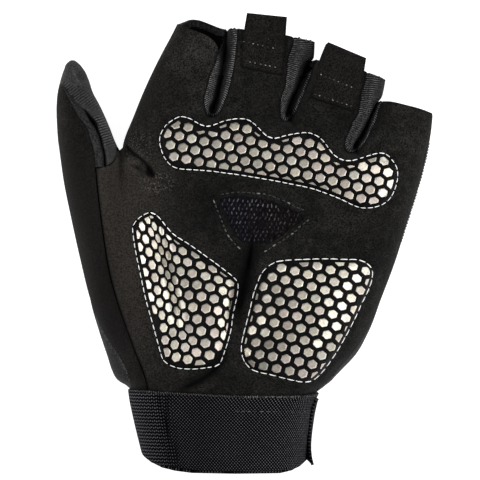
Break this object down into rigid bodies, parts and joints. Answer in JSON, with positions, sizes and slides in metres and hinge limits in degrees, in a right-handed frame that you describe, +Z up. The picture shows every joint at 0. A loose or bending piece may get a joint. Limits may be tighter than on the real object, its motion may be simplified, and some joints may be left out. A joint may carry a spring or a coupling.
{
  "type": "padded half-finger sport glove",
  "caption": "Padded half-finger sport glove for the left hand, palm up: suede palm with raised honeycomb pads, mesh vent, pull tabs, knit gussets and an elastic cuff.",
  "frame": {"origin": "centre of the bounding box at the level of the surface the glove lies on", "axes": "+Y from the cuff to the fingers, +Z up from the back to the palm, +X to the little finger's side"},
  "size_m": [0.1358, 0.1655, 0.0344],
  "materials": {
    "suede": "fine nap, matt",
    "binding": "smooth woven hem, matt",
    "ribbed_knit": "ribbed stretch knit",
    "back_fabric": "stretch jersey",
    "pad_print": "pale silver printed hexagons on black",
    "mesh": "open knit mesh",
    "elastic": "twill-woven elastic"
  },
  "bodies": {
    "root": {"palm_panel": "suede", "thumb_panel": "suede", "thumb_binding": "binding", "thumb_gusset": "ribbed_knit", "back_panel": "back_fabric", "gusset_index_middle": "ribbed_knit", "gusset_middle_ring": "ribbed_knit", "gusset_ring_little": "ribbed_knit", "knuckle_pad": "pad_print", "thenar_pad": "pad_print", "heel_pad": "pad_print", "mesh_vent": "mesh", "middle_pull_tab": "suede", "ring_pull_tab": "suede", "cuff_band": "elastic", "cuff_strap": "elastic"}
  },
  "joints": []
}
